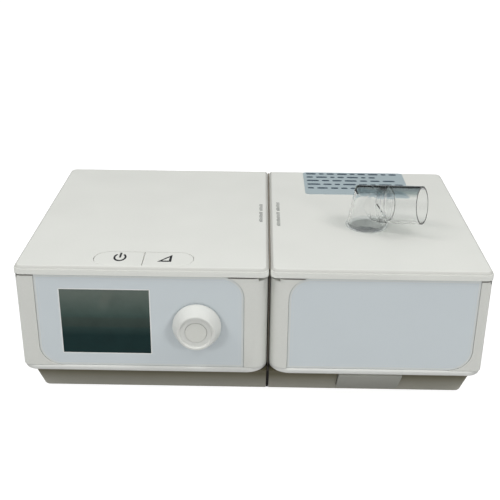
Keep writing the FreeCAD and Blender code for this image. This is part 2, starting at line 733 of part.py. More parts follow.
def blower_mounts():
    places = [(D.blower_middle + 24 * sx, D.blower_depth + 24 * sy) for sx in (-1, 1) for sy in (-1, 1)]
    deck_top = D.lip_top + D.deck
    mounts = [rod("blower_mount%d" % index, x, y, deck_top, 4.5, D.volute_low - deck_top)
              for index, (x, y) in enumerate(places)]
    group("blower_mounts", *mounts)


def air_path():
    """Soft duct from the volute to the port, the port's spigot and its seal."""
    x = D.blower_middle + 44
    wall_x = MAIN_SIDES[1] - D.wall
    ring("blower_duct", x, D.port_depth, D.port_height, D.port_radius, D.port_bore, wall_x - 2 - x, "X")
    turned("outlet_port", [
        (D.port_bore, 0), (14, 0), (14, 2), (D.port_radius, 2), (D.port_radius, D.port_reach - wall_x + 2),
        (D.port_bore, D.port_reach - wall_x + 2),
    ], wall_x - 2, D.port_depth, D.port_height, "X")
    ring("port_seal", DAMP_SIDES[0] + 3, D.port_depth, D.port_height, 12.4, D.port_radius, 2, "X")


def intake():
    """Filter frame, foam pad and the cover hinged at its lower edge."""
    x = (D.filter_left, D.filter_right)
    z = (D.filter_low, D.filter_high)
    rear = HOUSING_BACK - D.wall
    frame = block("intake_frame_solid", inset(x, -3), (rear - 8, rear), inset(z, -3))
    hole = block("intake_frame_hole", inset(x, 1), (rear - 9, rear + 1), inset(z, 1))
    cut("intake_frame", frame, hole)
    block("intake_filter", inset(x, 1.2), (rear - 7, rear - 1), inset(z, 1.2))
    lid = block("filter_cover_plate", inset(x, 0.3), (rear + 0.1, HOUSING_BACK), (z[0] + 0.2, z[1] - 0.3))
    slots = [block("filter_cover_slot%d" % index, inset(x, 6), (rear - 1, HOUSING_BACK + 1),
                   (z[0] + 6 + 4 * index, z[0] + 7.6 + 4 * index)) for index in range(6)]
    cut("filter_cover", lid, *slots)


def connectors():
    left = MAIN_SIDES[0]
    y = (D.card_front, D.card_front + D.card_width)
    z = (D.card_height, D.card_height + D.card_thickness)
    block("memory_card", (left + 0.3, left + 0.3 + D.card_length), y, z)
    cage = block("card_cage", (left + D.wall, left + D.wall + D.card_length + 2),
                 inset(y, -1.5), inset(z, -1.2))
    room = block("card_room", (left, left + 0.6 + D.card_length), inset(y, -0.2), inset(z, -0.15))
    cut("card_slot", cage, room)
    rear = HOUSING_BACK - D.wall
    turned("power_inlet", [
        (0, 0), (8, 0), (8, 11), (5.8, 11), (5.8, 13.1), (3.4, 13.1), (3.4, 3), (1, 3), (1, 11.5), (0, 11.5),
    ], D.jack_middle, rear - 11, D.jack_height, "Y")


def boards():
    board = (D.lip_top + D.deck, D.lip_top + D.deck + 1.6)
    block("main_board", (D.main_panel_left + 14, D.main_panel_right - 8), (-65, -20), board)
    parts = [
        block("choke", (-34, -18), (-40, -24), (board[1], board[1] + 14)),
        rod("capacitor_left", -46, -30, board[1], 6, 16),
        rod("capacitor_right", -46, -46, board[1], 6, 16),
        block("terminal", (-34, -18), (-60, -48), (board[1], board[1] + 5)),
        rod("buzzer", -106, -44, board[1], 6, 7),
    ]
    group("board_parts", *parts)
    window_x, window_z = screen_span(2)
    rear = BEZEL_BACK + D.wall + 3
    block("control_board", (window_x[0], D.knob_middle + 14), (rear, rear + 1.6),
          (window_z[0] + 3, window_z[1] - 7))


def foam_liner():
    """Acoustic foam along the left and rear walls."""
    x = MAIN_SIDES[0] + D.wall + 0.5
    y = (BEZEL_BACK + 12, D.card_front - 8)
    block("acoustic_foam", (x, x + 10), y, (D.lip_top + 9, COVER_BOTTOM - 6))


# ---------------------------------------------------------------- humidifier, outside

HINGE_Y = D.cover_back + D.hinge_offset
HINGE_Z = COVER_BOTTOM + D.hinge_lift
KNUCKLE = 9
HINGE_STARTS = (34, 103)


def knuckle(label, start, bore):
    outer = rod(label + "_barrel", start, HINGE_Y, HINGE_Z, D.hinge_barrel, KNUCKLE, "X")
    return outer, rod(label + "_bore", start - 1, HINGE_Y, HINGE_Z, bore, KNUCKLE + 2, "X")


def damp_housing():
    """Housing of the humidifier with two fixed hinge knuckles on its rear wall."""
    left = DAMP_SIDES[0] - 1
    walls = housing_shell("damp_walls", DAMP_SIDES, DAMP_BASE, RIGHT,
                          rod("damp_port_hole", left, D.port_depth, D.port_height, 15.2,
                              D.wall + 2, "X"))
    pieces = [walls]
    bores = []
    for index, start in enumerate(HINGE_STARTS):
        first = start + KNUCKLE + 0.3
        barrel, bore = knuckle("fixed_knuckle%d" % index, first, D.pin_radius)
        span = (first, first + KNUCKLE)
        foot = block("knuckle_foot%d" % index, span, (HOUSING_BACK - 1, HINGE_Y),
                     (HINGE_Z - 4, HINGE_Z - D.hinge_lift - 0.1))
        pieces += [barrel, foot]
        bores.append(bore)
    cut("humidifier_housing", fuse("damp_housing_solid", *pieces), *bores)


def damp_lid():
    """Hinged lid with a bore for the elbow and a recessed rear edge round the fixed knuckles."""
    shell = [cover_plate("damp_cover", DAMP_COVER, RIGHT), cover_skirt("damp_cover", DAMP_SIDES)]
    cuts = [rod("elbow_hole", D.elbow_middle, D.elbow_depth, COVER_BOTTOM - 5,
                D.spigot_radius + D.running_gap, 20)]
    for index, start in enumerate(HINGE_STARTS):
        barrel, bore = knuckle("lid_knuckle%d" % index, start, D.pin_radius + D.running_gap)
        shell.append(barrel)
        cuts.append(bore)
        first = start + KNUCKLE
        cuts.append(block("knuckle_notch%d" % index, (first, first + KNUCKLE + 0.6),
                          (D.cover_back - 0.9, D.cover_back + 1), (COVER_BOTTOM - 1, D.cover_top + 1)))
    cut("humidifier_lid", fuse("damp_lid_solid", *shell), *cuts)
    pins = [rod("hinge_pin%d" % index, start, HINGE_Y, HINGE_Z, D.pin_radius,
                2 * KNUCKLE + 0.3, "X") for index, start in enumerate(HINGE_STARTS)]
    group("hinge_pins", *pins)


def label_plate():
    sheet = plate("label_plate", (D.label_left, D.label_right), (D.label_front, D.label_back),
                  (D.cover_top, D.cover_top + 0.3))
    rounded(sheet, 3, upright())


def slope_frame():
    """Placement of the sloping base front: local X across, local Y up the slope, local Z outwards."""
    foot_y = number(D.cover_front + D.base_foot_inset)
    top_y = number(D.cover_front + D.base_top_inset)
    rise = number(D.lip_bottom - D.base_floor)
    angle = math.degrees(math.atan2(rise, top_y - foot_y))
    turn = FreeCAD.Rotation(VECTOR(1, 0, 0), angle)
    return FreeCAD.Placement(VECTOR(0, foot_y, number(D.base_floor)), turn)


def tab_plate(label, grow, low, high):
    """A plate parallel to the sloping base front with rounded lower corners."""
    x = (D.tab_left - grow, D.tab_right + grow)
    y = (D.tab_low - grow, D.tab_high + grow)
    body = plate(label, x, y, (low, high))
    rounded(body, 4, upright((x[0], y[0]), (x[1], y[0])))
    frame = slope_frame()
    body.Placement = frame.multiply(FreeCAD.Placement(VECTOR(0, 0, number(low)), FreeCAD.Rotation()))
    body.setExpression("Placement.Base.z", None)
    return body


# ---------------------------------------------------------------- elbow and tube

ELBOW_SPREAD = 6


def arm_placement(distance):
    """Placement on the elbow's tilted arm, local Z outwards along the arm."""
    swivel = math.radians(number(D.elbow_swivel))
    tilt = math.radians(number(D.elbow_tilt))
    along = VECTOR(math.cos(tilt) * math.cos(swivel), -math.cos(tilt) * math.sin(swivel), math.sin(tilt))
    middle = VECTOR(number(D.elbow_middle), number(D.elbow_depth), number(D.cover_top + D.elbow_rise))
    return FreeCAD.Placement(middle + along * number(distance), FreeCAD.Rotation(VECTOR(0, 0, 1), along))


def arm_rod(label, start, end, radius):
    cylinder = DOC.addObject("Part::Cylinder", label)
    bind(cylinder, "Radius", radius)
    bind(cylinder, "Height", end - start)
    cylinder.Placement = arm_placement(start)
    return cylinder


def arm_cone(label, start, end, radius, end_radius):
    cone = DOC.addObject("Part::Cone", label)
    bind(cone, "Radius1", radius)
    bind(cone, "Radius2", end_radius)
    bind(cone, "Height", end - start)
    cone.Placement = arm_placement(start)
    return cone


def elbow_form(label, foot, wall, reach):
    """The elbow's filled outline, its wall's thickness smaller all round.

    The upright narrows towards the top and ends under a barrel in line with the arm.
    """
    x, y = D.elbow_middle, D.elbow_depth
    top = D.elbow_rise + 12.9 - wall
    upright_body = turned(label + "_upright", foot + [
        (D.elbow_base - wall, 2.3), (D.elbow_crown - wall, top), (0, top),
    ], x, y, D.cover_top)
    rounded(upright_body, 3.5, level("z", top))
    barrel = arm_rod(label + "_barrel", -16, 16, D.tube_radius - wall)
    below = rod(label + "_below", x, y, COVER_BOTTOM - 6, 15, D.elbow_rise + 18.5)
    capped = common(label + "_capped", upright_body, fuse(label + "_cap", barrel, below))
    spread = arm_cone(label + "_spread", 0, ELBOW_SPREAD, D.elbow_crown + 1.4 - wall, D.tube_radius - wall)
    arm = arm_rod(label + "_arm", ELBOW_SPREAD, reach, D.tube_radius - wall)
    return fuse(label + "_form", capped, spread, arm)


def elbow():
    """Clear elbow: a flanged upright that turns into a socket for the outlet tube."""
    wall = D.tube_radius - D.tube_bore
    outside = elbow_form("elbow_outside", [
        (0, -8), (D.spigot_radius, -8), (D.spigot_radius, 0.1), (D.elbow_flange - 0.5, 0.1),
        (D.elbow_flange, 0.6), (D.elbow_flange, 1.3), (D.elbow_flange - 0.5, 1.8),
    ], 0, D.elbow_arm)
    inside = elbow_form("elbow_inside", [(0, -9), (10.2, -9), (10.2, 1)], wall, D.elbow_arm + 1)
    cut("elbow", outside, inside)


def outlet_tube():
    """Straight tube with a 22 mm bore and a thin spigot in the elbow's socket."""
    outside = arm_rod("tube_outside", D.elbow_arm + 0.02, D.tube_end, D.tube_radius)
    spigot = arm_rod("tube_spigot", D.elbow_arm - 3.5, D.elbow_arm + 1, D.tube_bore - 0.02)
    bore = arm_rod("tube_bore_cut", D.elbow_arm + 2, D.tube_end + 1, D.tube_bore)
    neck = arm_rod("tube_neck_cut", D.elbow_arm - 5, D.elbow_arm + 3, D.tube_bore - 1.6)
    cut("outlet_tube", fuse("tube_solid", outside, spigot), bore, neck)


def elbow_retainer():
    ring("elbow_retainer", D.elbow_middle, D.elbow_depth, COVER_BOTTOM - 3, 14.5, D.spigot_radius, 2.9)


# ---------------------------------------------------------------- humidifier, inside

def water_chamber():
    x = (D.tub_left, D.tub_right)
    y = (D.tub_front, D.tub_back)
    tub = plate("tub_outside", x, y, (D.tub_low, D.tub_high))
    rounded(tub, 9, upright())
    room = plate("tub_room", inset(x, D.tub_wall), inset(y, D.tub_wall), (D.tub_low - 1, D.tub_high + 1))
    rounded(room, 7, upright())
    port = rod("tub_port", D.tub_left - 1, D.port_depth, D.port_height, 9.4, 4, "X")
    cut("chamber_tub", tub, room, port)
    sole = plate("chamber_heat_plate", inset(x, D.tub_wall), inset(y, D.tub_wall),
                 (D.tub_low - 0.6, D.tub_low + 1.4))
    rounded(sole, 7, upright())
    seal = plate("seal_outside", x, y, (D.tub_high, D.tub_high + 1.5))
    rounded(seal, 9, upright())
    seal_room = plate("seal_room", inset(x, D.tub_wall), inset(y, D.tub_wall),
                      (D.tub_high - 1, D.tub_high + 3))
    rounded(seal_room, 7, upright())
    cut("chamber_seal", seal, seal_room)
    top = plate("chamber_cover_plate", x, y, (D.tub_high + 1.5, D.tub_high + 4))
    rounded(top, 9, upright())
    hole = rod("chamber_cover_hole", D.elbow_middle, D.elbow_depth, D.tub_high, 11, 10)
    cut("chamber_cover", top, hole)
    ring("outlet_seal", D.elbow_middle, D.elbow_depth, D.tub_high + 4, 15, 11.2, 5.9)


def heater():
    x = (D.tub_left + 14, D.tub_right - 14)
    y = (D.tub_front + 20, D.tub_back - 20)
    hot = plate("heater_plate", x, y, (D.tub_low - 3.6, D.tub_low - 0.6))
    rounded(hot, 10, upright())
    deck_top = D.lip_top + D.deck
    places = [(sx, sy) for sx in inset(x, 8) for sy in inset(y, 12)]
    springs = [ring("heater_spring%d" % index, sx, sy, deck_top, 4, 2.8, D.tub_low - 3.6 - deck_top)
               for index, (sx, sy) in enumerate(places)]
    group("heater_springs", *springs)


def damp_port():
    """Socket that takes the blower unit's spigot and leads into the chamber."""
    first = DAMP_SIDES[0] + D.wall
    turned("humidifier_port", [
        (12.9, 0), (17, 0), (17, 2), (15, 2), (15, D.tub_left - first - 0.2),
        (9.4, D.tub_left - first - 0.2), (9.4, D.tub_left - first - 2.2), (12.9, D.tub_left - first - 2.2),
    ], first, D.port_depth, D.port_height, "X")


# ---------------------------------------------------------------- assembly

NODES = [
    "main_base", "main_lip", "main_housing", "main_bezel", "main_front_panel", "screen_window",
    "display_module", "control_board", "main_board", "board_parts", "main_top_cover", "key_board",
    "key_switches", "power_key", "ramp_key", "encoder_body", "encoder_plunger", "encoder_shaft",
    "control_knob", "knob_disc", "blower_volute", "blower_cover", "blower_motor", "rotor_shaft", "impeller",
    "blower_mounts", "blower_duct", "outlet_port", "port_seal", "intake_frame", "intake_filter",
    "filter_cover", "memory_card", "card_slot", "power_inlet", "acoustic_foam", "main_feet", "main_screws",
    "humidifier_base", "humidifier_lip", "humidifier_housing", "humidifier_bezel",
    "humidifier_front_panel", "humidifier_lid", "hinge_pins", "label_plate", "elbow", "elbow_retainer",
    "outlet_tube", "chamber_tub", "chamber_heat_plate", "chamber_seal", "chamber_cover", "outlet_seal",
    "heater_plate", "heater_springs", "humidifier_port", "release_tab", "humidifier_feet",
    "humidifier_screws",
]


def build_blower_unit():
    base_pan("main_base", MAIN_BASE, LEFT)
    lip_ring("main_lip", MAIN_COVER, MAIN_BASE, LEFT)
    main_housing()
    main_front()
    main_cover()
    keys()
    knob()
    encoder()
    blower()
    blower_mounts()
    air_path()
    intake()
    connectors()
    boards()
    foam_liner()
    feet("main_feet", MAIN_BASE)
    case_screws("main_screws", MAIN_BASE)


def build_humidifier():
    tab_room = tab_plate("tab_room", 0.4, -6, 6)
    base_pan("humidifier_base", DAMP_BASE, RIGHT, tab_room)
    tab = tab_plate("release_tab", 0, -2.4, D.tab_proud)
    rounded(tab, 0.8, level("z", D.tab_proud + 2.4))
    lip_ring("humidifier_lip", DAMP_COVER, DAMP_BASE, RIGHT)
    damp_housing()
    panel = (D.damp_panel_left, D.damp_panel_right)
    front_bezel("humidifier_bezel", DAMP_SIDES, panel, RIGHT)
    front_panel("humidifier_front_panel", panel, RIGHT)
    damp_lid()
    label_plate()
    elbow()
    elbow_retainer()
    outlet_tube()
    water_chamber()
    heater()
    damp_port()
    feet("humidifier_feet", DAMP_BASE)
    case_screws("humidifier_screws", DAMP_BASE)


def check_and_write():
    """Refuse a failed object or a bad shape, then write each sub-part to its own file."""
    DOC.recompute()
    for thing in DOC.Objects:
        if any(word in thing.State for word in ("Invalid", "Error")):
            raise RuntimeError("%s is %s" % (thing.Name, thing.State))
    os.makedirs("parts", exist_ok=True)
    for node in NODES:
        shape = DOC.getObjectsByLabel(node)[0].Shape
        if shape.isNull() or not shape.isValid() or not shape.Solids:
            raise RuntimeError(node + " has no valid shape")
        shape.exportStep("parts/%s.step" % node)


build_blower_unit()
build_humidifier()
check_and_write()
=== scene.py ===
import itertools
import math

import bmesh
import bpy
from mathutils import Matrix, Vector


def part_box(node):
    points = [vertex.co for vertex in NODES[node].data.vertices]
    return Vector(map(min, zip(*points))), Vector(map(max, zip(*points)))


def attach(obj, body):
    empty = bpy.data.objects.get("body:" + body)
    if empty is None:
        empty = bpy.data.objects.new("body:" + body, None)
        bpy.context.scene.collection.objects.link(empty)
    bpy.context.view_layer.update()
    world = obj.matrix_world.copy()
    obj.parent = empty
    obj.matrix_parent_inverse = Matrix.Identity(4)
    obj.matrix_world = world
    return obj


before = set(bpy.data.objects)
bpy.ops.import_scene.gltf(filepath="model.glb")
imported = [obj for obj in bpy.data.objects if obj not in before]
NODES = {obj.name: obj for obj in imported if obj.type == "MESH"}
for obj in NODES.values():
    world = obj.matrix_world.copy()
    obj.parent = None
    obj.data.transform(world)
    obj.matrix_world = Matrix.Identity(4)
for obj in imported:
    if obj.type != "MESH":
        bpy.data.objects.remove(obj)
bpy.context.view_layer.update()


# ---------------------------------------------------------------- node helpers

def srgb(red, green, blue):
    """Linear colour of an 8-bit screen colour."""
    def linear(value):
        value /= 255
        return value / 12.92 if value <= 0.04045 else ((value + 0.055) / 1.055) ** 2.4
    return (linear(red), linear(green), linear(blue), 1)


def feed(tree, socket, value):
    """Link an input to another node's output, or give it a plain value."""
    if isinstance(value, bpy.types.NodeSocket):
        tree.links.new(value, socket)
    else:
        socket.default_value = value


def blend(tree, factor, first, second):
    """One colour or another, chosen by a factor from 0 to 1."""
    node = tree.nodes.new("ShaderNodeMix")
    node.data_type = "RGBA"
    for index, value in ((0, factor), (6, first), (7, second)):
        feed(tree, node.inputs[index], value)
    return node.outputs[2]


class Material:
    """A node material that is built up step by step in object space, in metres."""

    def __init__(self, name, color, roughness=0.5, **inputs):
        self.data = bpy.data.materials.new(name)
        self.data.use_nodes = True
        self.tree = self.data.node_tree
        self.shader = self.tree.nodes["Principled BSDF"]
        self.output = self.tree.nodes["Material Output"]
        self.place = self.add("ShaderNodeTexCoord").outputs["Object"]
        self.color = color
        self.normal = None
        self.set(self.shader, "Base Color", color)
        self.set(self.shader, "Roughness", roughness)
        for key, value in inputs.items():
            self.set(self.shader, key.replace("_", " "), value)

    def add(self, kind, **inputs):
        """A node; lower-case keywords are its settings, numbered or capitalised ones its inputs."""
        node = self.tree.nodes.new(kind)
        for key, value in inputs.items():
            if key[0].isupper():
                self.set(node, key.replace("_", " "), value)
            elif key[0] == "i" and key[1:].isdigit():
                self.set(node, int(key[1:]), value)
            else:
                setattr(node, key, value)
        return node

    def set(self, node, key, value):
        """Link or set one input of a node."""
        feed(self.tree, node.inputs[key], value)

    def math(self, operation, *values):
        """The result of one sum on values or node outputs."""
        node = self.add("ShaderNodeMath", operation=operation)
        for index, value in enumerate(values):
            self.set(node, index, value)
        return node.outputs[0]

    def axes(self):
        """The x, y and z of the place in object space."""
        return self.add("ShaderNodeSeparateXYZ", i0=self.place).outputs

    def upward(self):
        """How far the surface faces up, from -1 to 1."""
        normal = self.add("ShaderNodeTexCoord").outputs["Normal"]
        return self.add("ShaderNodeSeparateXYZ", i0=normal).outputs["Z"]

    def noise(self, size, detail=3, stretch=None):
        """Noise whose features are about `size` metres across, around 0.5."""
        place = self.place
        if stretch:
            place = self.add("ShaderNodeVectorMath", operation="MULTIPLY", i0=place, i1=stretch).outputs[0]
        node = self.add("ShaderNodeTexNoise", Vector=place, Scale=1 / size, Detail=detail)
        return node.outputs["Fac"]

    def cells(self, size):
        """Distance to the middle of round cells of about a size."""
        return self.add("ShaderNodeTexVoronoi", Vector=self.place, Scale=1 / size).outputs["Distance"]

    def remap(self, value, low, high, to_low=0.0, to_high=1.0):
        """The value stretched from one range to another and clamped to it."""
        node = self.add("ShaderNodeMapRange", i0=value, i1=low, i2=high, i3=to_low, i4=to_high)
        return node.outputs[0]

    def vary(self, size, detail, low, high):
        """Noise of a size, spread from low to high."""
        return self.remap(self.noise(size, detail), 0.3, 0.7, low, high)

    def band(self, value, start, full, fall, end):
        """1 from full to fall, and 0 up to start and from end."""
        return self.math("MULTIPLY", self.remap(value, start, full), self.remap(value, fall, end, 1.0, 0.0))

    def scale_color(self, color, factor):
        """The colour made lighter or darker by a factor."""
        node = self.add("ShaderNodeVectorMath", operation="SCALE")
        self.set(node, 0, color if isinstance(color, bpy.types.NodeSocket) else color[:3])
        self.set(node, "Scale", factor)
        return node.outputs[0]

    def tint(self, factor):
        """Multiply the colour so far."""
        self.color = self.scale_color(self.color, factor)
        self.set(self.shader, "Base Color", self.color)
        return self

    def paint(self, mask, color):
        """Lay another colour over the colour so far, where the mask is 1."""
        self.color = blend(self.tree, mask, self.color, color)
        self.set(self.shader, "Base Color", self.color)
        return self

    def rough(self, value):
        """Replace the roughness."""
        self.set(self.shader, "Roughness", value)
        return self

    def soften(self, radius):
        """Round sharp edges in the shading."""
        self.normal = self.add("ShaderNodeBevel", samples=4, Radius=radius).outputs[0]
        self.set(self.shader, "Normal", self.normal)
        return self

    def bump(self, height, distance):
        """Raise the surface by a height from 0 to 1 times a distance."""
        node = self.add("ShaderNodeBump", Height=height, Distance=distance, Strength=1.0)
        if self.normal is not None:
            self.set(node, "Normal", self.normal)
        self.normal = node.outputs[0]
        self.set(self.shader, "Normal", self.normal)
        return self

    def front_distance(self, low, high, radius):
        """Distance outside a rounded rectangle seen from the front, negative inside it."""
        axes = self.axes()
        reach = []
        for axis, name in ((0, "X"), (2, "Z")):
            middle = (low[axis] + high[axis]) / 2
            half = (high[axis] - low[axis]) / 2
            offset = self.math("ABSOLUTE", self.math("SUBTRACT", axes[name], middle))
            reach.append(self.math("SUBTRACT", offset, self.math("SUBTRACT", half, radius)))
        outside = [self.math("MAXIMUM", value, 0.0) for value in reach]
        square = self.math("ADD", *[self.math("MULTIPLY", value, value) for value in outside])
        inside = self.math("MINIMUM", self.math("MAXIMUM", *reach), 0.0)
        return self.math("SUBTRACT", self.math("ADD", self.math("SQRT", square), inside), radius)


def moulded(name, color, roughness, grain=0.0007, depth=0.00002, edge=0.00025, shade=0.02):
    """Moulded plastic: spark-eroded grain, a faint flow mottle and softened edges."""
    made = Material(name, color, roughness)
    made.soften(edge)
    broad = made.vary(0.06, 2, 1 - shade, 1 + shade)
    fine = made.remap(made.noise(grain * 1.7, 2), 0.25, 0.75, 1 - shade * 0.6, 1 + shade * 0.6)
    made.tint(made.math("MULTIPLY", broad, fine))
    height = made.math("ADD", made.noise(grain, 4), made.cells(grain * 1.3))
    made.bump(height, depth)
    made.rough(made.vary(0.02, 3, roughness - 0.05, roughness + 0.05))
    return made


def finish_node(material, *names):
    """Give CAD nodes their material."""
    for name in names:
        slots = NODES[name].data.materials
        slots.clear()
        slots.append(material.data)


# ---------------------------------------------------------------- mesh helpers

def piece(name, body, material, mesh_maker):
    """A new mesh object that rides on a body, with the given material."""
    mesh = bpy.data.meshes.new(name)
    build = bmesh.new()
    mesh_maker(build)
    bmesh.ops.recalc_face_normals(build, faces=build.faces)
    build.to_mesh(mesh)
    build.free()
    mesh.materials.append(material.data)
    thing = bpy.data.objects.new(name, mesh)
    bpy.context.scene.collection.objects.link(thing)
    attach(thing, body)


def slab(build, outline, z, thickness):
    """A thin plate with a given outline of (x, y) points, its underside at z."""
    low = [build.verts.new((x, y, z)) for x, y in outline]
    high = [build.verts.new((x, y, z + thickness)) for x, y in outline]
    count = len(outline)
    build.faces.new(high)
    build.faces.new(low[::-1])
    for index in range(count):
        following = (index + 1) % count
        build.faces.new((low[index], low[following], high[following], high[index]))


def dash_outline(x0, x1, y, half):
    """A short bar with round ends."""
    steps = 6
    points = []
    for middle, start in ((x1 - half, -90), (x0 + half, 90)):
        for step in range(steps + 1):
            angle = math.radians(start + 180 * step / steps)
            points.append((middle + half * math.cos(angle), y + half * math.sin(angle)))
    return points


# ---------------------------------------------------------------- camera and studio

CAMERA_PLACE = Vector((0.002595, -0.55458, 0.32473))
CAMERA_PITCH, CAMERA_YAW, CAMERA_ROLL = 24.347, 0.568, 0.623
CAMERA_LENS = 62.47


def add_camera():
    """A camera in front of the gap that looks down at the two units."""
    data = bpy.data.cameras.new("camera")
    data.sensor_width = 36
    data.lens = CAMERA_LENS
    data.clip_start = 0.01
    camera = bpy.data.objects.new("camera", data)
    bpy.context.scene.collection.objects.link(camera)
    turn = (Matrix.Rotation(math.radians(CAMERA_YAW), 4, "Z")
            @ Matrix.Rotation(math.radians(90 - CAMERA_PITCH), 4, "X")
            @ Matrix.Rotation(math.radians(CAMERA_ROLL), 4, "Z"))
    camera.matrix_world = Matrix.Translation(CAMERA_PLACE) @ turn
    bpy.context.scene.camera = camera


def add_light(name, place, aim, size, watts):
    """A square softbox aimed at a height above the middle, that isn't mirrored in glossy surfaces."""
    data = bpy.data.lights.new(name, "AREA")
    data.shape = "SQUARE"
    data.size = size
    data.energy = watts
    light = bpy.data.objects.new(name, data)
    bpy.context.scene.collection.objects.link(light)
    way = Vector((0, 0, aim)) - Vector(place)
    light.matrix_world = Matrix.Translation(place) @ way.to_track_quat("-Z", "Y").to_matrix().to_4x4()
    light.visible_glossy = False
    light.visible_transmission = False


def sky_ramp(tree, height, stops):
    """Grey level over the height of a direction, from the ground to the zenith."""
    ramp = tree.nodes.new("ShaderNodeValToRGB")
    tree.links.new(height, ramp.inputs[0])
    points = ramp.color_ramp.elements
    while len(points) < len(stops):
        points.new(0.5)
    for point, (place, level) in zip(points, stops):
        point.position = place
        point.color = (level, level * 1.01, level * 1.02, 1)
    return ramp.outputs[0]


ROOM_LEVELS = ((0, 0.36), (0.28, 0.15), (0.55, 0.16), (0.75, 0.52), (1, 0.58))
DARK_WALL_LEVELS = ((0, 0.03), (0.50, 0.03), (0.66, 0.42), (1, 0.58))
WALL_STARTS, WALL_FULL = 0.25, 0.55
FLOOR_REACH = 8.0
FLOOR_GLOW, FLOOR_GLOW_SEEN = 0.17, 0.88


def add_world(scene):
    """A light room with a dark wall behind; the camera itself sees plain white."""
    world = bpy.data.worlds.new("studio")
    scene.world = world
    world.use_nodes = True
    tree = world.node_tree
    coords = tree.nodes.new("ShaderNodeTexCoord")
    parts = tree.nodes.new("ShaderNodeSeparateXYZ")
    tree.links.new(coords.outputs["Generated"], parts.inputs[0])
    room = sky_ramp(tree, parts.outputs["Z"], ROOM_LEVELS)
    wall = sky_ramp(tree, parts.outputs["Z"], DARK_WALL_LEVELS)
    behind = tree.nodes.new("ShaderNodeMapRange")
    behind.inputs[1].default_value = WALL_STARTS
    behind.inputs[2].default_value = WALL_FULL
    tree.links.new(parts.outputs["Y"], behind.inputs[0])
    seen = blend(tree, behind.outputs[0], room, wall)
    path = tree.nodes.new("ShaderNodeLightPath")
    seen = blend(tree, path.outputs["Is Camera Ray"], seen, (1, 1, 1, 1))
    tree.links.new(seen, tree.nodes["Background"].inputs["Color"])


def add_floor(scene):
    """A plain pale floor that glows a little, more for the camera than for the object."""
    floor = bpy.data.meshes.new("floor")
    corners = [(x * FLOOR_REACH, y * FLOOR_REACH, 0) for x, y in ((-1, -1), (1, -1), (1, 1), (-1, 1))]
    floor.from_pydata(corners, [], [(0, 1, 2, 3)])
    surface = Material("floor_white", (0.4, 0.4, 0.4, 1), 0.9)
    surface.tint(surface.vary(0.35, 2, 0.985, 1.0))
    seen = surface.add("ShaderNodeLightPath").outputs["Is Camera Ray"]
    surface.set(surface.shader, "Emission Color", (1, 1, 1, 1))
    surface.set(surface.shader, "Emission Strength", surface.remap(seen, 0, 1, FLOOR_GLOW, FLOOR_GLOW_SEEN))
    floor.materials.append(surface.data)
    thing = bpy.data.objects.new("floor", floor)
    scene.collection.objects.link(thing)


def add_studio():
    """Two softboxes above, two in front and a weak one behind, round a pale floor."""
    scene = bpy.context.scene
    scene.view_settings.view_transform = "Standard"
    add_world(scene)
    for side in (-1, 1):
        add_light("key", (0.76 * side, -0.30, 1.05), 0.06, 0.36, 4.9)
        add_light("front", (0.95 * side, -1.35, 0.75), 0.05, 0.30, 5.0)
    add_light("back", (0, 1.6, 0.8), 0.05, 0.5, 3.5)
    add_floor(scene)


# ---------------------------------------------------------------- materials of the CAD nodes

PANEL_ROUND, PANEL_SHARP = 0.014, 0.0008
SCREEN_BORDER = 0.0008


def leaf_radius(made, low, high, falling):
    """Corner radius of a leaf outline: large at two opposite corners, small at the other two.

    The large corners are on the diagonal that falls to the right, or else on the one that rises.
    """
    axes = made.axes()
    across = made.math("SUBTRACT", axes["X"], (low.x + high.x) / 2)
    up = made.math("SUBTRACT", axes["Z"], (low.z + high.z) / 2)
    product = made.math("MULTIPLY", across, up)
    same = made.math("GREATER_THAN", made.math("MULTIPLY", product, -1.0 if falling else 1.0), 0.0)
    return made.math("ADD", made.math("MULTIPLY", same, PANEL_ROUND - PANEL_SHARP), PANEL_SHARP)


def panel_material(name, node, falling, window=None):
    """Glossy acrylic over a blue-grey print, with a pale line a little inside its edge and a painted
    highlight on the edge itself.
    """
    low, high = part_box(node)
    made = Material(name, srgb(208, 216, 219), 0.22, Coat_Weight=0.3, Coat_Roughness=0.12)
    made.soften(0.0002)
    edge = made.front_distance(low, high, leaf_radius(made, low, high, falling))
    edge_highlight = made.remap(edge, -0.0017, -0.0014)
    line = made.band(edge, -0.0034, -0.0031, -0.0029, -0.0026)
    made.tint(made.vary(0.09, 2, 0.985, 1.015))
    made.tint(made.vary(0.0006, 2, 0.992, 1.008))
    # painted highlight: a light strip along the outer edge, where the acrylic's edge catches light
    made.paint(made.math("MULTIPLY", edge_highlight, 0.75), srgb(216, 219, 216))
    made.paint(made.math("MULTIPLY", line, 0.5), srgb(214, 219, 219))
    if window:
        border = made.front_distance(*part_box(window), 0.0003)
        within = made.remap(border, SCREEN_BORDER - 0.0001, SCREEN_BORDER + 0.0001, 1.0, 0.0)
        made.paint(within, srgb(232, 235, 233))
    made.rough(made.vary(0.015, 4, 0.18, 0.27))
    made.bump(made.noise(0.004, 3), 0.000006)
    return made


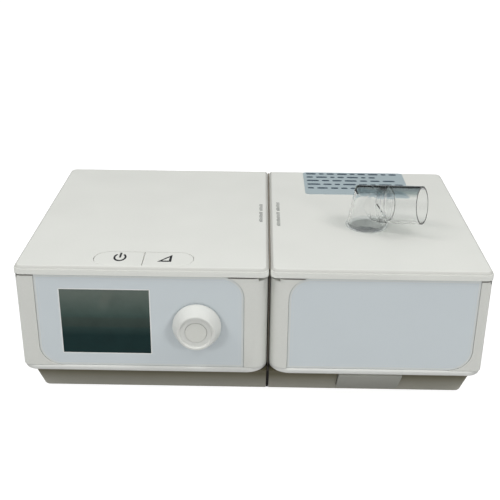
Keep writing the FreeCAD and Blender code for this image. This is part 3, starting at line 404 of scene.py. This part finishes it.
def screen_material():
    """Dark glass over an unlit display, with painted reflections: it greys towards the top and has a faint
    stripe and a lighter patch.
    """
    low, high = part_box("screen_window")
    made = Material("screen_glass", srgb(24, 47, 47), 0.08, Specular_IOR_Level=0.12)
    axes = made.axes()
    across = made.remap(axes["X"], low.x, high.x)
    rise = made.remap(axes["Z"], low.z, high.z)
    # painted reflection: the glass lightens towards the top
    made.paint(made.remap(rise, 0.28, 0.62), srgb(66, 83, 78))
    made.paint(made.remap(rise, 0.60, 0.95), srgb(98, 108, 101))
    # painted reflection: a faint darker stripe across the middle and a lighter slanting patch near the top
    reflected_stripe = made.band(rise, 0.40, 0.43, 0.55, 0.58)
    made.paint(made.math("MULTIPLY", reflected_stripe, 0.35), srgb(62, 66, 58))
    lean = made.math("SUBTRACT", across, made.math("MULTIPLY", rise, 0.22))
    reflected_patch = made.math("MULTIPLY", made.band(lean, 0.24, 0.29, 0.34, 0.42), made.remap(rise, 0.64, 0.82))
    made.paint(made.math("MULTIPLY", reflected_patch, 0.35), srgb(104, 110, 102))
    dots = made.add("ShaderNodeTexChecker", Vector=made.place, Scale=1 / 0.0002)
    made.tint(made.remap(dots.outputs["Fac"], 0, 1, 0.94, 1.06))
    made.tint(made.vary(0.01, 3, 0.93, 1.07))
    made.rough(made.vary(0.01, 3, 0.06, 0.10))
    made.bump(made.noise(0.012, 2), 0.00001)
    return made


def clear_material(name, color, haze=0.004, crown_reflection=None, foot=0.0):
    """Clear plastic with soft, thin shadows.

    The crown reflection is painted into the colour of the part that faces up: the dark side of the room that
    it looks out at.
    Below the foot's height the wall is thick and lies close on another part, so it's drawn a little
    milky and nearly without bending the light.
    """
    made = Material(name, color, haze, Transmission_Weight=1.0, IOR=1.5, Specular_IOR_Level=0.5)
    made.rough(made.vary(0.006, 4, haze * 0.5, haze * 1.6))
    made.bump(made.noise(0.009, 2), 0.00001)
    height = made.axes()["Z"]
    over_foot = made.remap(height, foot, foot + 0.0012)
    if crown_reflection:
        # painted reflection: the dark room's colour on up-facing parts well above the foot
        above = made.remap(height, foot + 0.014, foot + 0.018)
        made.paint(made.math("MULTIPLY", made.remap(made.upward(), 0.66, 0.84), above), crown_reflection)
    slant = made.add("ShaderNodeLayerWeight", Blend=0.35).outputs["Facing"]
    edge_on = made.math("MULTIPLY", slant, over_foot)
    shade = blend(made.tree, edge_on, (0.97, 0.98, 0.975, 1), (0.52, 0.55, 0.55, 1))
    cast = made.add("ShaderNodeBsdfTransparent", Color=shade)
    thin = made.add("ShaderNodeBsdfTransparent", Color=(0.96, 0.965, 0.965, 1))
    milk = made.add("ShaderNodeBsdfDiffuse", Color=(0.80, 0.82, 0.84, 1))
    thick = made.add("ShaderNodeMixShader", i0=0.16, i1=thin.outputs[0], i2=milk.outputs[0])
    share = made.math("MULTIPLY", made.math("SUBTRACT", 1.0, over_foot), 0.88)
    body = made.add("ShaderNodeMixShader", i0=share, i1=made.shader.outputs[0], i2=thick.outputs[0])
    shadow = made.add("ShaderNodeLightPath").outputs["Is Shadow Ray"]
    both = made.add("ShaderNodeMixShader", i0=shadow, i1=body.outputs[0], i2=cast.outputs[0])
    made.set(made.output, "Surface", both.outputs[0])
    return made


def circuit_board():
    """Green solder mask with copper tracks and small tinned pads."""
    made = Material("circuit_board", srgb(24, 84, 52), 0.3, Coat_Weight=0.3)
    tracks = made.add("ShaderNodeTexBrick", Vector=made.place, Color1=(0, 0, 0, 1), Color2=(1, 1, 1, 1),
                      Scale=1 / 0.006, Mortar_Size=0.012).outputs["Fac"]
    made.paint(made.math("MULTIPLY", tracks, 0.5), srgb(62, 122, 70))
    pads = made.remap(made.cells(0.0032), 0.10, 0.14, 1.0, 0.0)
    made.paint(pads, srgb(190, 192, 188))
    made.bump(tracks, 0.00003)
    return made


def metal(name, color, roughness, brush=(1, 1, 60)):
    """Brushed metal; the brush stretches its lines."""
    made = Material(name, color, roughness, Metallic=1.0)
    made.soften(0.0002)
    lines = made.noise(0.02, 4, stretch=brush)
    made.tint(made.remap(lines, 0.3, 0.7, 0.93, 1.05))
    made.rough(made.remap(lines, 0.3, 0.7, roughness - 0.07, roughness + 0.1))
    made.bump(lines, 0.00002)
    return made


def foam(name, color, size):
    """Open cells."""
    made = Material(name, color, 0.95)
    pores = made.cells(size)
    made.tint(made.remap(pores, 0.1, 0.7, 1.25, 0.45))
    made.bump(pores, size * 0.6)
    return made


def fibre(name, color):
    """Pressed fibre pad."""
    made = Material(name, color, 0.95, Sheen_Weight=0.3)
    strands = made.noise(0.0012, 6, stretch=(1, 1, 0.35))
    made.tint(made.remap(strands, 0.3, 0.7, 0.8, 1.08))
    made.bump(strands, 0.0003)
    return made


def rubber(name, color, roughness=0.75, **inputs):
    """Matt rubber or silicone with fine pitting."""
    made = Material(name, color, roughness, **inputs)
    made.soften(0.0004)
    made.tint(made.vary(0.004, 4, 0.9, 1.1))
    made.bump(made.noise(0.0008, 4), 0.00006)
    return made


WHITE = srgb(229, 230, 224)


def shell_material():
    """Off-white plastic with a painted shadow line along its top, just under the covers."""
    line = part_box("humidifier_front_panel")[1].z - 0.0009
    made = moulded("white_shell", srgb(219, 220, 214), 0.48)
    # painted shade: the shell turns dark just below the covers, in place of their shadow
    made.paint(made.remap(made.axes()["Z"], line, line + 0.0003, 0.0, 0.8), srgb(92, 84, 76))
    return made


def cover_material():
    """White plastic with painted shade on its rounded edges, between its top and its sides."""
    made = moulded("white_cover", WHITE, 0.42)
    # painted shade: a darker colour where the surface turns from facing up to facing sideways
    made.paint(made.band(made.upward(), 0.05, 0.45, 0.90, 0.995), srgb(205, 205, 199))
    return made


def base_material():
    """Grey plastic with painted shade: darker and more olive towards the lip above it."""
    low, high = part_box("main_base")
    made = moulded("grey_base", srgb(182, 180, 168), 0.6, grain=0.0009, depth=0.00004, shade=0.035)
    rise = made.remap(made.axes()["Z"], low.z, high.z)
    # painted shade: darker towards the top, under the overhanging lip
    made.paint(made.remap(rise, 0.10, 0.80), srgb(98, 93, 70))
    return made


def gasket_material():
    """Grey foam, with painted shade: black between the bases, below the lips."""
    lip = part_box("main_lip")[0].z
    made = rubber("gasket_foam", srgb(136, 129, 119), 0.9)
    # painted shade: black below the lips, in the narrow gap between the two bases
    made.paint(made.remap(made.axes()["Z"], lip - 0.002, lip + 0.003, 1.0, 0.0), srgb(26, 24, 21))
    return made


SHELL = shell_material()
COVER = cover_material()
KEYCAP = moulded("white_key", WHITE, 0.42, edge=0.0002)
LIP = moulded("white_lip", srgb(218, 219, 215), 0.45)
BASE = base_material()
TAB = moulded("grey_tab", srgb(163, 163, 155), 0.55, grain=0.0009, depth=0.00004, edge=0.0004, shade=0.03)
KNOB = moulded("knob_white", srgb(221, 222, 217), 0.4)
DISC = moulded("knob_disc_white", srgb(220, 221, 214), 0.45)
BLACK = moulded("black_plastic", srgb(38, 38, 40), 0.5)
GREY = moulded("grey_plastic", srgb(146, 149, 152), 0.5)
FLANGE_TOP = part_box("humidifier_lid")[1].z + 0.0016
CLEAR = clear_material("clear_plastic", (0.985, 0.99, 0.99, 1),
                       crown_reflection=(0.38, 0.46, 0.47, 1), foot=FLANGE_TOP)
SMOKE = clear_material("chamber_plastic", (0.94, 0.96, 0.97, 1), 0.05)
STEEL = metal("steel", (0.62, 0.62, 0.61, 1), 0.3)
ALUMINIUM = metal("aluminium", (0.78, 0.78, 0.79, 1), 0.38, brush=(60, 1, 1))
BOARD = circuit_board()
RUBBER = rubber("black_rubber", srgb(38, 38, 39))
SILICONE = rubber("silicone", srgb(208, 208, 202), 0.5,
                  Subsurface_Weight=0.1, Subsurface_Radius=(0.002, 0.002, 0.002))
FOAM = foam("acoustic_foam_cells", srgb(78, 78, 82), 0.0018)
GOLD = metal("contact_gold", srgb(205, 168, 92), 0.25)
PLATE = moulded("rating_film", srgb(196, 199, 200), 0.35, grain=0.0012, depth=0.000008, shade=0.015)
GASKET = gasket_material()
FILTER = fibre("filter_fibre", srgb(222, 222, 216))
LABEL = moulded("label_film", srgb(174, 188, 192), 0.38, grain=0.0012, depth=0.000008, shade=0.015)
CARD = moulded("card_blue", srgb(34, 46, 70), 0.35)
SCREEN = screen_material()
MAIN_PANEL = panel_material("blue_panel_main", "main_front_panel", False, "screen_window")
DAMP_PANEL = panel_material("blue_panel_damp", "humidifier_front_panel", True)

finish_node(SHELL, "main_housing", "main_bezel", "humidifier_housing", "humidifier_bezel", "filter_cover")
finish_node(COVER, "main_top_cover", "humidifier_lid")
finish_node(KEYCAP, "power_key", "ramp_key")
finish_node(LIP, "main_lip", "humidifier_lip")
finish_node(BASE, "main_base", "humidifier_base")
finish_node(TAB, "release_tab")
finish_node(KNOB, "control_knob")
finish_node(DISC, "knob_disc")
finish_node(MAIN_PANEL, "main_front_panel")
finish_node(DAMP_PANEL, "humidifier_front_panel")
finish_node(SCREEN, "screen_window")
finish_node(CLEAR, "elbow", "outlet_tube")
finish_node(SMOKE, "chamber_tub", "chamber_cover")
finish_node(BOARD, "control_board", "main_board", "key_board")
finish_node(BLACK, "display_module", "board_parts", "key_switches", "impeller", "power_inlet")
finish_node(GREY, "encoder_body", "blower_volute", "blower_cover", "outlet_port", "intake_frame",
            "elbow_retainer", "humidifier_port")
finish_node(STEEL, "encoder_plunger", "encoder_shaft", "rotor_shaft", "card_slot", "main_screws",
            "humidifier_screws", "hinge_pins", "heater_springs")
finish_node(ALUMINIUM, "blower_motor", "chamber_heat_plate", "heater_plate")
finish_node(SILICONE, "blower_mounts", "blower_duct", "port_seal", "chamber_seal", "outlet_seal")
finish_node(RUBBER, "main_feet", "humidifier_feet")
finish_node(FOAM, "acoustic_foam")
finish_node(FILTER, "intake_filter")
finish_node(LABEL, "label_plate")
finish_node(CARD, "memory_card")


# ---------------------------------------------------------------- printed marks

# dark ink for the key symbols, and painted shade for the screws' cross recesses
INK_AND_SHADE = moulded("ink_and_recess_shade", srgb(46, 48, 50), 0.5, grain=0.0005, depth=0.000005)
LABEL_INK = moulded("ink_label", srgb(74, 88, 100), 0.5, grain=0.0005, depth=0.000005)
FAINT_INK = moulded("ink_faint", srgb(112, 114, 112), 0.5, grain=0.0005, depth=0.000005)
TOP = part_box("main_top_cover")[1].z
PRINT = 0.00004


def middle(node):
    """The middle of a node's box."""
    low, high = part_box(node)
    return (low + high) / 2


def power_symbol(build):
    """Power sign: a tall ring, open at the back, with a bar through the opening."""
    x, y = middle("power_key").x + 0.0007, middle("power_key").y + 0.0015
    outer, line, tall = 0.0040, 0.0012, 1.42
    ring = []
    for radius, angles in ((outer, range(125, 416, 10)), (outer - line, range(415, 124, -10))):
        for angle in angles:
            turn = math.radians(angle)
            ring.append((x + radius * math.cos(turn), y + radius * tall * math.sin(turn)))
    slab(build, ring, TOP, PRINT)
    side, low, high = line / 2, y - 0.0004, y + 0.0066
    upright = [(x - side, low), (x + side, low), (x + side, high), (x - side, high)]
    slab(build, upright, TOP, PRINT)


def ramp_symbol(build):
    """Ramp sign: an outlined right-angled triangle that rises to the right."""
    x, y = middle("ramp_key").x, middle("ramp_key").y
    left, right = x - 0.0067, x + 0.0019
    low, high = y - 0.0041, y + 0.0059
    corners = [Vector((left, low)), Vector((right, low)), Vector((right, high))]
    centre = sum(corners, Vector((0, 0))) / 3
    inner = [centre + (corner - centre) * 0.50 for corner in corners]
    for index in range(3):
        following = (index + 1) % 3
        loop = [corners[index], corners[following], inner[following], inner[index]]
        slab(build, [tuple(point) for point in loop], TOP, PRINT)


# Each row's height on the plate, its end across the plate, and the lengths of its bars.
LABEL_ROWS = (
    (0.92, 0.96, (0.0078, 0.0040, 0.0060)),
    (0.765, 0.80, (0.0052, 0.0088, 0.0036)),
    (0.605, 0.93, (0.0094, 0.0058, 0.0074)),
    (0.435, 0.97, (0.0100, 0.0064, 0.0042)),
    (0.265, 0.90, (0.0048, 0.0082, 0.0056)),
)
LABEL_MARGIN, LABEL_BAR_HALF, LABEL_GAP = 0.0022, 0.0015, 0.0021


def dashes(build, start, end, line, lengths, z):
    """A row of short bars from one x to another, in a repeating rhythm of lengths."""
    place = start
    index = 0
    while place + lengths[index % len(lengths)] <= end:
        reach = place + lengths[index % len(lengths)]
        slab(build, dash_outline(place, reach, line, LABEL_BAR_HALF), z, PRINT)
        place = reach + LABEL_GAP
        index += 1


def label_rows(build):
    """Rows of bars in place of the plate's wording."""
    low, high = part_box("label_plate")
    span = high - low
    start = low.x + LABEL_MARGIN
    for rise, reach, lengths in LABEL_ROWS:
        end = low.x + span.x * reach
        line = low.y + span.y * rise
        dashes(build, start, end, line, lengths, high.z)


STROKE_WIDTH, STROKE_PITCH, WORD_GAP = 0.0010, 0.0021, 0.0018
MAIN_NAME_START, LID_NAME_START = -0.0115, -0.0180


def strokes(build, x, start, words):
    """Groups of short cross strokes that run to the back from a y, in place of a turned name."""
    y = start
    right = x + 0.0010
    for count in words:
        for index in range(count):
            left = x - (0.0013 if index % 3 else 0.0009)
            far = y + STROKE_WIDTH
            slab(build, [(left, y), (right, y), (right, far), (left, far)], TOP, PRINT)
            y += STROKE_PITCH
        y += WORD_GAP


def main_name_row(build):
    """Strokes along the blower unit's inner edge."""
    strokes(build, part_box("main_top_cover")[1].x - 0.0050, MAIN_NAME_START, (9, 6))


def lid_name_row(build):
    """Strokes along the lid's inner edge."""
    strokes(build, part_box("humidifier_lid")[0].x + 0.0059, LID_NAME_START, (12, 8))


piece("power_symbol", "power_key_cap", INK_AND_SHADE, power_symbol)
piece("ramp_symbol", "ramp_key_cap", INK_AND_SHADE, ramp_symbol)
piece("label_bars", "lid", LABEL_INK, label_rows)
piece("main_name_bars", "blower_unit", FAINT_INK, main_name_row)
piece("lid_name_bars", "lid", FAINT_INK, lid_name_row)


# ---------------------------------------------------------------- added detail

def bar(build, low, high):
    """A block between two corners."""
    verts = [build.verts.new(corner) for corner in itertools.product(*zip(low, high))]
    for face in ((0, 1, 3, 2), (4, 6, 7, 5), (0, 4, 5, 1), (2, 3, 7, 6), (0, 2, 6, 4), (1, 5, 7, 3)):
        build.faces.new([verts[index] for index in face])


def turned(axis, along, across, up):
    """Three values in the order x, y, z, the first of them on the given axis."""
    values = (along, across, up)
    return tuple(values[(index - axis) % 3] for index in range(3))


def chamfered_bar(build, low, high, cut):
    """A block between two corners, with its edges cut off at a slant."""
    full = list(zip(low, high))
    inset = [(start + cut, stop - cut) for start, stop in full]
    verts = {}
    for corner in itertools.product((0, 1), repeat=3):
        for axis in range(3):
            place = [(full if index == axis else inset)[index][corner[index]] for index in range(3)]
            verts[corner, axis] = build.verts.new(place)
        build.faces.new([verts[corner, axis] for axis in range(3)])
    for axis in range(3):
        second, third = (axis + 1) % 3, (axis + 2) % 3
        for side in (0, 1):
            ring = [turned(axis, side, across, up) for across, up in ((0, 0), (1, 0), (1, 1), (0, 1))]
            build.faces.new([verts[corner, axis] for corner in ring])
        for across, up in itertools.product((0, 1), repeat=2):
            near, far = turned(axis, 0, across, up), turned(axis, 1, across, up)
            build.faces.new([verts[near, second], verts[far, second], verts[far, third], verts[near, third]])


def frame_strip(build, outer, inner, sides):
    """A closed strip across the width between two outlines of as many (y, z) points.

    The strip's low and high x at a height come from sides.
    """
    loops = [[build.verts.new((sides(z)[end], y, z)) for y, z in outline]
             for end in (0, 1) for outline in (outer, inner)]
    near_out, near_in, far_out, far_in = loops
    walls = ((near_out, near_in), (near_in, far_in), (far_in, far_out), (far_out, near_out))
    count = len(outer)
    for index in range(count):
        following = (index + 1) % count
        for first, second in walls:
            build.faces.new((first[index], first[following], second[following], second[index]))


def seam_gasket(build):
    """Foam strip between the docked units; its front follows the columns and the sloping base."""
    cover_low, cover_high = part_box("main_top_cover")
    lid_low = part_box("humidifier_lid")[0]
    base_low, base_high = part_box("main_base")
    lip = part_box("main_lip")[0].z
    foot = base_low.z
    front = cover_low.y
    back = cover_high.y - 0.0004
    base_back = base_high.y - 0.0006
    top = cover_high.z - 0.0016
    under_lip = lip - 0.0004
    column, inner_column = front + 0.0095, front + 0.0175
    slope_top, slope_foot = front + 0.0046, front + 0.0247
    inner_top, inner_foot = top - 0.008, foot + 0.007
    inner_back, inner_base_back = back - 0.0116, base_back - 0.008
    outer = [(front + 0.0050, top), (column, top - 0.006), (column, lip), (slope_top, under_lip),
             (slope_foot, foot), (base_back, foot), (base_back, under_lip), (back, lip), (back, top)]
    inner = [(front + 0.0170, inner_top), (inner_column, top - 0.009), (inner_column, lip + 0.002),
             (front + 0.0180, lip - 0.001), (front + 0.0320, inner_foot), (inner_base_back, inner_foot),
             (inner_base_back, lip - 0.001), (inner_back, lip + 0.002), (inner_back, inner_top)]
    covers = (cover_high.x + 0.0001, lid_low.x - 0.0001)
    bases = (base_high.x + 0.0001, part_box("humidifier_base")[0].x - 0.0001)
    frame_strip(build, outer, inner, lambda z: covers if z > lip - 0.0002 else bases)


def card_contacts(build):
    """Gold strips under the card's inner end."""
    low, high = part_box("memory_card")
    count, pitch = 8, 0.0025
    for index in range(count):
        y = low.y + 0.0022 + index * pitch
        bar(build, (high.x - 0.0065, y, low.z - PRINT), (high.x - 0.0015, y + 0.0015, low.z + 0.0001))


def card_sticker(build):
    """Blank film on the card's upper face."""
    low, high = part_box("memory_card")
    bar(build, (low.x + 0.006, low.y + 0.003, high.z - 0.0001),
        (high.x - 0.004, high.y - 0.003, high.z + PRINT))


def rear_place(x, z):
    """A place on the blower unit's rear wall, from fractions between the intake and the right edge."""
    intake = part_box("intake_frame")[1]
    housing_low, housing_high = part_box("main_housing")
    return intake.x + (housing_high.x - intake.x) * x, housing_low.z + (housing_high.z - housing_low.z) * z


RATING_FILM = 0.00015
RATING_ROWS = (0.95, 0.62, 0.84, 0.55, 0.90, 0.70)


def rating_plate(build):
    """Blank rating plate beside the intake."""
    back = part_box("main_housing")[1].y
    x0, z0 = rear_place(0.10, 0.44)
    x1, z1 = rear_place(0.58, 0.88)
    chamfered_bar(build, (x0, back - 0.0001, z0), (x1, back + RATING_FILM, z1), 0.00005)


def rating_bars(build):
    """Abstract rows on the rating plate."""
    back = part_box("main_housing")[1].y + RATING_FILM
    x0, z0 = rear_place(0.13, 0.49)
    x1, z1 = rear_place(0.55, 0.84)
    for row, share in enumerate(RATING_ROWS):
        z = z0 + (z1 - z0) * row / (len(RATING_ROWS) - 1)
        reach = x0 + (x1 - x0) * share
        bar(build, (x0, back - 0.00005, z - 0.0005), (reach, back + PRINT, z + 0.0005))


def board_chips(build):
    """Packages and small passives on the main board."""
    low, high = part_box("main_board")
    span = high - low
    chips = ((0.22, 0.30, 0.010, 0.010, 0.0016), (0.40, 0.66, 0.014, 0.008, 0.0018),
             (0.22, 0.74, 0.007, 0.005, 0.0014), (0.52, 0.24, 0.006, 0.006, 0.0012))
    for x, y, wide, deep, tall in chips:
        middle_x, middle_y = low.x + span.x * x, low.y + span.y * y
        chamfered_bar(build, (middle_x - wide / 2, middle_y - deep / 2, high.z),
                      (middle_x + wide / 2, middle_y + deep / 2, high.z + tall), 0.0002)
    for index in range(14):
        x = low.x + span.x * (0.30 + 0.03 * index)
        y = low.y + span.y * (0.46 + 0.05 * (index % 3))
        bar(build, (x, y, high.z), (x + 0.0016, y + 0.0008, high.z + 0.0006))


def screw_slots(name):
    """Cross recesses shown as dark crosses under a node's four screw heads: painted shade in place of the
    hollows.
    """
    def maker(build):
        low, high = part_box(name)
        under, over = low.z - PRINT, low.z + 0.0001
        for x in (low.x + 0.0029, high.x - 0.0029):
            for y in (low.y + 0.0029, high.y - 0.0029):
                for wide, deep in ((0.0017, 0.0003), (0.0003, 0.0017)):
                    bar(build, (x - wide, y - deep, under), (x + wide, y + deep, over))
    return maker


def level_marks(build):
    """Two level lines on the front of the water chamber."""
    low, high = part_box("chamber_tub")
    middle_x = (low.x + high.x) / 2
    for rise, reach in ((0.78, 0.30), (0.40, 0.16)):
        z = low.z + (high.z - low.z) * rise
        half = (high.x - low.x) * reach / 2
        bar(build, (middle_x - half, low.y - PRINT, z - 0.0004),
            (middle_x + half, low.y + 0.0001, z + 0.0004))


piece("seam_gasket", "humidifier", GASKET, seam_gasket)
piece("card_contacts", "card", GOLD, card_contacts)
piece("card_sticker", "card", LABEL, card_sticker)
piece("rating_plate", "blower_unit", PLATE, rating_plate)
piece("rating_bars", "blower_unit", LABEL_INK, rating_bars)
piece("board_chips", "blower_unit", BLACK, board_chips)
# painted shade: the dark crosses stand in for the shadow inside the screws' cross recesses
piece("main_screw_slots", "blower_unit", INK_AND_SHADE, screw_slots("main_screws"))
piece("humidifier_screw_slots", "humidifier", INK_AND_SHADE, screw_slots("humidifier_screws"))
piece("level_marks", "humidifier", LABEL_INK, level_marks)

add_camera()
add_studio()
